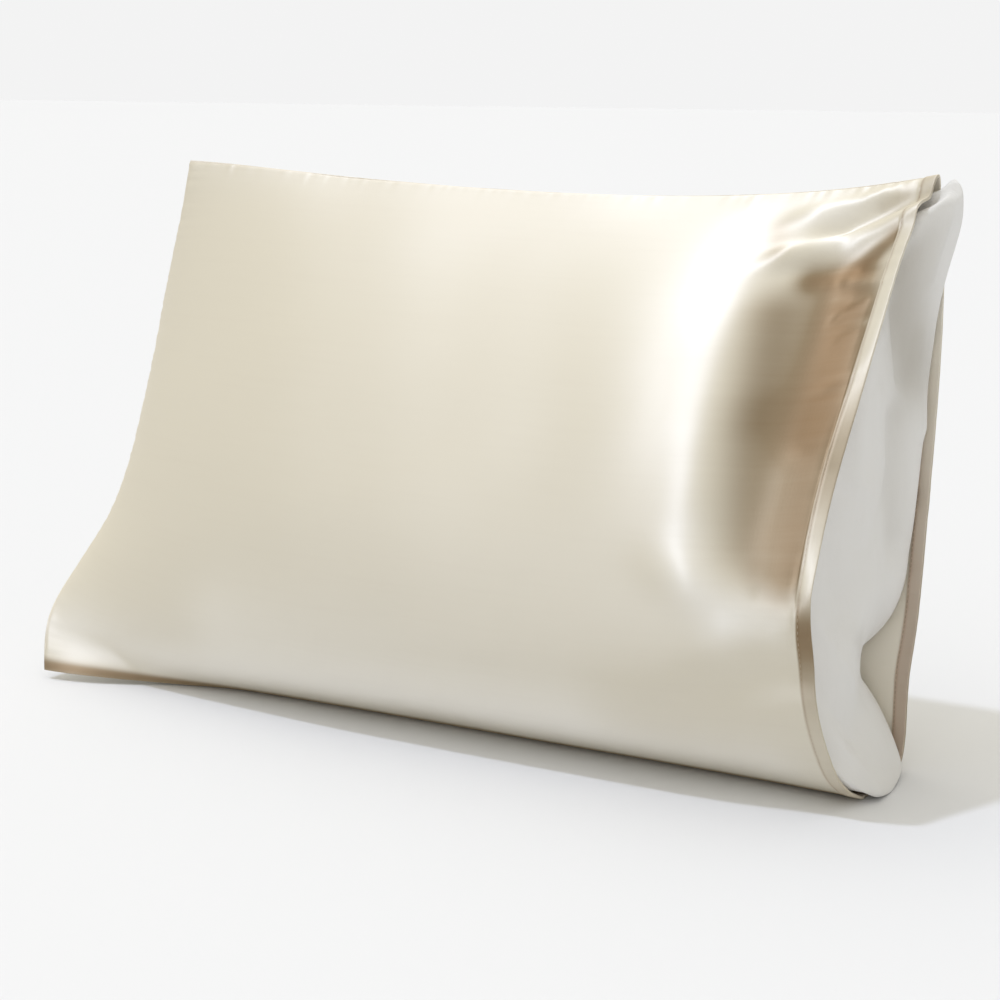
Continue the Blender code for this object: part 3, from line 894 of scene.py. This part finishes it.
def tone_group():
    """Colour of cloth: the face colour goes to the gleam colour where a painted highlight is and to
    the turned colour where painted shade is, a little darker in the seams and in the stitched
    line, and slightly uneven."""
    name = "Cloth Tone"
    if name in bpy.data.node_groups:
        return bpy.data.node_groups[name]
    group, bench, given, result = new_group(
        name,
        (
            ("Face Color", "Color"), ("Gleam Color", "Color"), ("Turned Color", "Color"),
            ("Gleam", "Float"), ("Turned", "Float"), ("Seam", "Float"), ("Unevenness", "Float"),
        ),
        (("Color", "Color"), ("Gloss Loss", "Float")))
    wander = bench.math("MULTIPLY_ADD", given["Unevenness"], TONE_WANDER, -TONE_WANDER / 2)
    turned = bench.math("ADD", given["Turned"], wander, clamp=True)
    seam = bench.math("MULTIPLY", given["Seam"], SEAM_SHARE, clamp=True)
    toned = bench.blend(given["Gleam"], given["Face Color"], given["Gleam Color"])
    for share in (turned, seam):
        toned = bench.blend(share, toned, given["Turned Color"])
    loss = bench.math("MULTIPLY", bench.math("ADD", turned, seam), 0.5, clamp=True)
    bench.feed(result, {"Color": toned, "Gloss Loss": loss})
    return group


def fresh_material(name):
    """A new material with its shader, and a bench for its nodes."""
    material = bpy.data.materials.new(name)
    material.use_nodes = True
    return material, material.node_tree.nodes["Principled BSDF"], Bench(material.node_tree)


def satin(name, look, face, turned, roughness):
    """Satin in one colour, with painted highlights and painted shade in it: long floats that gleam
    along the weft, read from the flat cloth.
    """
    material, shader, bench = fresh_material(name)
    flat = bench.put("UVMap", uv_map="flat_cloth")
    tint, loss, normal = bench.cloth(
        flat.outputs["UV"], look.satin_pitch, SATIN_FLOAT, SATIN_BUMP, {
            "Face Color": opaque(face), "Turned Color": opaque(turned),
            "Gleam Color": opaque(look.painted_highlight_tint), "Gleam": bench.value("gleam"),
            "Seam": bench.math("MAXIMUM", bench.value("near_seam"), bench.value("stitch_line")),
        })
    floats = bench.put("Tangent", direction_type="UV_MAP", uv_map="flat_cloth")
    bench.feed(shader, {
        "Base Color": tint,
        "Roughness": bench.math("MULTIPLY_ADD", loss, SEAM_ROUGHENING, roughness),
        "Normal": normal,
        "Tangent": floats.outputs["Tangent"],
        "Anisotropic": look.satin_grain,
        "Anisotropic Rotation": FLOAT_TURN,
        # More mirroring where the painted shade is, so that the gleam there takes the painted shade
        # tint.
        "Metallic": bench.math(
            "MULTIPLY_ADD", bench.value("turned"), TURNED_GLEAM, look.satin_metallic, clamp=True),
        "IOR": SATIN_IOR,
        "Specular IOR Level": 1.0,
        "Sheen Weight": look.satin_sheen,
        "Sheen Roughness": 0.45,
        "Sheen Tint": opaque(look.ivory),
    })
    return material


def cotton(name, look):
    """Plain white cotton with a matt, slightly fuzzy face, and painted shade on the pillow's end.
    """
    material, shader, bench = fresh_material(name)
    place = bench.put("TexCoord").outputs["Object"]
    turn = bench.put("Mapping", {"Vector": place, "Rotation": (0.0, math.pi / 2, 0.0)})
    tint, _, normal = bench.cloth(
        turn.outputs["Vector"], look.cotton_pitch, COTTON_FLOAT, COTTON_BUMP,
        {"Face Color": opaque(look.white), "Turned Color": opaque(look.painted_cotton_shade)})
    bench.feed(shader, {
        "Base Color": tint,
        "Normal": normal,
        "Roughness": 0.88,
        "Sheen Weight": 0.25,
        "Sheen Roughness": 0.6,
    })
    return material


def thread(name, look):
    """Polyester sewing thread in the colour of the satin."""
    material, shader, bench = fresh_material(name)
    twist = bench.noise(bench.put("TexCoord").outputs["Object"], TWIST_RATE, 1.0)
    spun = bench.blend(twist, opaque(look.thread), opaque(look.shade_and_twist_tan))
    bench.feed(shader, {"Base Color": spun, "Roughness": 0.5, "Sheen Weight": 0.2})
    return material


def length(name, description, default, least, most):
    """A setting in metres."""
    return bpy.props.FloatProperty(
        name=name, description=description, default=default, min=least, max=most, precision=5,
        unit="LENGTH")


def share(name, description, default):
    """A setting from 0 to 1."""
    return bpy.props.FloatProperty(
        name=name, description=description, default=default, min=0.0, max=1.0, subtype="FACTOR")


def color(name, description, default):
    """A setting that is a linear colour."""
    return bpy.props.FloatVectorProperty(
        name=name, description=description, default=default, min=0.0, max=1.0, size=3,
        subtype="COLOR")


class PillowcaseSizes(bpy.types.PropertyGroup):
    """Sizes of the cloth, the stitches and the pillow."""

    cloth: length("Cloth", "Thickness of the single cloth", 0.0007, 0.0002, 0.002)
    hem_cloth: length("Hem Cloth", "Thickness of the folded hem", 0.0015, 0.0005, 0.003)
    pucker: length("Pucker", "Height of the puckers at seams and stitches", 0.00028, 0.0, 0.001)
    unevenness: length("Unevenness", "Height of the slow waves over the cloth", 0.0005, 0.0, 0.003)
    seam_roll: length("Seam Roll", "How deep the cloth rolls into its seams", 0.0008, 0.0, 0.002)
    stitch_length: length("Stitch Length", "Length of one visible stitch", 0.0021, 0.001, 0.005)
    stitch_pitch: length(
        "Stitch Pitch", "Distance from one stitch to the next", 0.0027, 0.0015, 0.006)
    stitch_inset: length(
        "Stitch Inset", "Distance of the stitches from the hem's inner fold", 0.001, 0.0005, 0.003)
    thread: length("Thread", "Thickness of the sewing thread", 0.00032, 0.0001, 0.001)
    pillow_rounding: length("Pillow Rounding", "Radius of the pillow's edges", 0.009, 0.002, 0.03)


class PillowcaseLook(bpy.types.PropertyGroup):
    """Colours and finishes of the satin, the cotton and the thread."""

    ivory: color("Ivory", "Colour of the satin's face", (0.665, 0.608, 0.475))
    # Painted highlight: the colour that the painted highlight strokes lift the satin's face
    # towards.
    painted_highlight_tint: color("Pearl", "Colour of the satin where its floats gleam", (0.92, 0.89, 0.82))
    # Painted shade: the colour that the painted shade strokes and the seams take the satin towards;
    # the thread's twist also uses it for its darker strands.
    shade_and_twist_tan: color(
        "Champagne", "Colour of the satin where it turns from the light", (0.33, 0.219, 0.120))
    # Partly the inner side's own duller colour and partly painted light: it is painted lighter than
    # the face, standing in for light that reaches the pocket by the mouth.
    inside: color("Inside", "Colour of the satin's dull inner side", (0.93, 0.88, 0.77))
    # Painted shade on the satin's inner side, seen most in the hem's fold: the colour that its
    # painted shade takes it towards.
    painted_inside_shade: color("Blush", "Colour of the hem's fold seen from inside", (0.64, 0.44, 0.33))
    thread: color("Thread", "Colour of the sewing thread", (0.62, 0.55, 0.44))
    white: color("White", "Colour of the pillow's cotton", (0.80, 0.795, 0.785))
    # Painted shade on the pillow's cotton: the colour that its painted shade takes the white
    # towards.
    painted_cotton_shade: color("White Shade", "Darker shade of the cotton", (0.50, 0.475, 0.43))
    satin_pitch: length(
        "Satin Pitch", "Distance between threads of the satin", 0.0004, 0.0001, 0.002)
    cotton_pitch: length(
        "Cotton Pitch", "Distance between threads of the cotton", 0.0006, 0.0001, 0.002)
    satin_roughness: share("Satin Roughness", "Roughness of the satin's face", 0.55)
    satin_metallic: share(
        "Satin Gleam", "Share of the light that the satin's floats mirror", 0.10)
    satin_grain: share(
        "Satin Grain", "How far the floats draw the gleam out across themselves", 0.95)
    satin_sheen: share("Satin Sheen", "Soft sheen of the satin at low angles", 0.25)


class PillowcaseStudio(bpy.types.PropertyGroup):
    """The floor, the lights and the camera."""

    floor: color("Floor", "Colour of the floor", (0.785, 0.795, 0.82))
    backdrop: color("Backdrop", "Colour behind the floor", (0.898, 0.898, 0.898))
    key_color: color("Key Colour", "Colour of the key light", (0.76, 0.82, 1.0))
    key: bpy.props.FloatProperty(
        name="Key", description="Strength of the key light", default=1.02, min=0.0, max=20.0)
    fill_color: color("Fill Colour", "Colour of the light from all round", (1.0, 0.97, 0.88))
    fill: bpy.props.FloatProperty(
        name="Fill", description="Strength of the light from all round", default=0.53,
        min=0.0, max=5.0)
    banks: bpy.props.FloatProperty(
        name="Banks", description="Strength of the broad soft banks of light", default=1.0,
        min=0.0, max=10.0)
    bank_width: bpy.props.FloatProperty(
        name="Bank Narrowness", description="Power of the cosine that shapes a bank of light",
        default=4.0, min=1.0, max=100.0)
    lens: bpy.props.FloatProperty(
        name="Lens", description="Focal length of the camera", default=75.6, min=20.0, max=200.0,
        subtype="DISTANCE_CAMERA")


def settings_of(context):
    scene = context.scene
    return scene.pillowcase_sizes, scene.pillowcase_look, scene.pillowcase_studio


def dress(piece, node):
    """Let a piece ride on the part's one body and stand for a solid of the frame."""
    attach(piece, "root")
    if node:
        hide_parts(node)


class PILLOWCASE_OT_front_cover(bpy.types.Operator):
    """Build the front panel of satin with its hem and its row of stitches"""

    bl_idname = "pillowcase.front_cover"
    bl_label = "Front Cover"

    def execute(self, context):
        sizes, look, _ = settings_of(context)
        cover = build_cover("front", -1, FRONT_GRID, sizes, look)
        yarn = thread("front_thread", look)
        stitches = build_stitches("front_hem_stitches", -1, 1, sizes, yarn)
        dress(cover, "front_panel")
        dress(stitches, None)
        return {"FINISHED"}


class PILLOWCASE_OT_back_cover(bpy.types.Operator):
    """Build the back panel of satin with its hem and the stitches on both of its faces"""

    bl_idname = "pillowcase.back_cover"
    bl_label = "Back Cover"

    def execute(self, context):
        sizes, look, _ = settings_of(context)
        cover = build_cover("back", 1, BACK_GRID, sizes, look)
        yarn = thread("back_thread", look)
        outer = build_stitches("back_hem_stitches", 1, 1, sizes, yarn)
        hidden = build_stitches("back_hem_inner_stitches", 1, -1, sizes, yarn)
        dress(cover, "back_panel")
        for row in (outer, hidden):
            dress(row, None)
        return {"FINISHED"}


class PILLOWCASE_OT_pillow(bpy.types.Operator):
    """Build the white pillow that fills the case"""

    bl_idname = "pillowcase.pillow"
    bl_label = "Pillow"

    def execute(self, context):
        sizes, look, _ = settings_of(context)
        pillow = build_pillow("travel_pillow", sizes, cotton("pillow_cotton", look))
        dress(pillow, "pillow_insert")
        return {"FINISHED"}


class PILLOWCASE_OT_studio(bpy.types.Operator):
    """Set up the pale floor, the soft light and the camera"""

    bl_idname = "pillowcase.studio"
    bl_label = "Studio"

    def execute(self, context):
        _, _, studio = settings_of(context)
        scene = context.scene
        scene.view_settings.view_transform = "Standard"
        add_floor(scene, studio)
        add_lights(scene, studio)
        add_camera(scene, studio)
        return {"FINISHED"}


def add_floor(scene, studio):
    """A wide plain floor just under the case."""
    corners = ((-1, -1), (1, -1), (1, 1), (-1, 1))
    places = np.array([(FLOOR_HALF * x, FLOOR_HALF * y, FLOOR_LEVEL) for x, y in corners])
    floor = mesh_object("studio_floor", places, np.array(((0, 1, 2, 3),)))
    material, shader, bench = fresh_material("floor_paper")
    paper = opaque(studio.floor)
    bench.feed(shader, {"Base Color": paper, "Roughness": 0.95, "Specular IOR Level": 0.1})
    floor.data.materials.append(material)


def add_lights(scene, studio):
    """A key light from the upper left front, and a dome that is even but for broad soft banks:
    the light of each grows by the power of the cosine from its direction."""
    travel = Vector(KEY_TRAVEL).normalized()
    key = bpy.data.lights.new("key", "SUN")
    key.energy, key.color, key.angle = studio.key, studio.key_color, math.radians(KEY_SPREAD)
    lamp = bpy.data.objects.new("key", key)
    lamp.rotation_euler = travel.to_track_quat("-Z", "Y").to_euler()
    scene.collection.objects.link(lamp)
    world = bpy.data.worlds.new("dome")
    scene.world = world
    world.use_nodes = True
    bench = Bench(world.node_tree)
    light_path = bench.put("LightPath")
    direction = bench.put("TexCoord").outputs["Generated"]
    strength = studio.fill
    for azimuth, rise, share in LIGHT_BANKS:
        turn, above = math.radians(azimuth), math.radians(rise)
        level = math.cos(above)
        bank = (math.sin(turn) * level, -math.cos(turn) * level, math.sin(above))
        toward = bench.put("VectorMath", {0: direction, 1: bank}, operation="DOT_PRODUCT")
        facing = bench.math("MAXIMUM", toward.outputs["Value"], 0.0)
        lobe = bench.math("POWER", facing, studio.bank_width)
        strength = bench.math("ADD", bench.math("MULTIPLY", lobe, share * studio.banks), strength)
    dome = world.node_tree.nodes["Background"]
    bench.feed(dome, {"Color": opaque(studio.fill_color), "Strength": strength})
    backdrop = bench.put(
        "Background", {"Color": opaque(studio.backdrop), "Strength": 1.0})
    seen = bench.put(
        "MixShader",
        {0: light_path.outputs["Is Camera Ray"], 1: dome.outputs[0], 2: backdrop.outputs[0]})
    bench.feed(world.node_tree.nodes["World Output"], {"Surface": seen.outputs[0]})


def add_camera(scene, studio):
    """A long lens from the right front, looking a little down."""
    view = bpy.data.cameras.new("camera")
    view.lens, view.sensor_width = studio.lens, 36.0
    camera = bpy.data.objects.new("camera", view)
    camera.location = Vector(CAMERA_PLACE) - Vector((FRAME_X, FRAME_Y, 0.0))
    camera.rotation_euler = [math.radians(turn) for turn in CAMERA_TURN]
    scene.collection.objects.link(camera)
    scene.camera = camera


class PILLOWCASE_PT_panel(bpy.types.Panel):
    """The pillowcase's settings and its pieces"""

    bl_label = "Travel Pillowcase"
    bl_space_type = "VIEW_3D"
    bl_region_type = "UI"
    bl_category = "Pillowcase"

    def draw(self, context):
        for group in settings_of(context):
            column = self.layout.column(align=True)
            for name in group.bl_rna.properties.keys():
                if name not in {"rna_type", "name"}:
                    column.prop(group, name)
        for step in STEPS:
            self.layout.operator(step.bl_idname)


STEPS = (
    PILLOWCASE_OT_studio,
    PILLOWCASE_OT_pillow,
    PILLOWCASE_OT_back_cover,
    PILLOWCASE_OT_front_cover,
)
SETTINGS = (
    ("pillowcase_sizes", PillowcaseSizes),
    ("pillowcase_look", PillowcaseLook),
    ("pillowcase_studio", PillowcaseStudio),
)


def register():
    for name, group in SETTINGS:
        bpy.utils.register_class(group)
        setattr(bpy.types.Scene, name, bpy.props.PointerProperty(type=group))
    for each in (*STEPS, PILLOWCASE_PT_panel):
        bpy.utils.register_class(each)


def unregister():
    for each in (PILLOWCASE_PT_panel, *STEPS):
        bpy.utils.unregister_class(each)
    for name, group in SETTINGS:
        delattr(bpy.types.Scene, name)
        bpy.utils.unregister_class(group)


def main():
    """Clear the scene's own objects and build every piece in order."""
    register()
    for each in list(bpy.data.objects):
        if each.type in {"LIGHT", "CAMERA"} or each.name == "Cube":
            bpy.data.objects.remove(each)
    bpy.ops.pillowcase.studio()
    bpy.ops.pillowcase.pillow()
    bpy.ops.pillowcase.back_cover()
    bpy.ops.pillowcase.front_cover()
    bpy.context.view_layer.update()


if __name__ == "__main__":
    main()
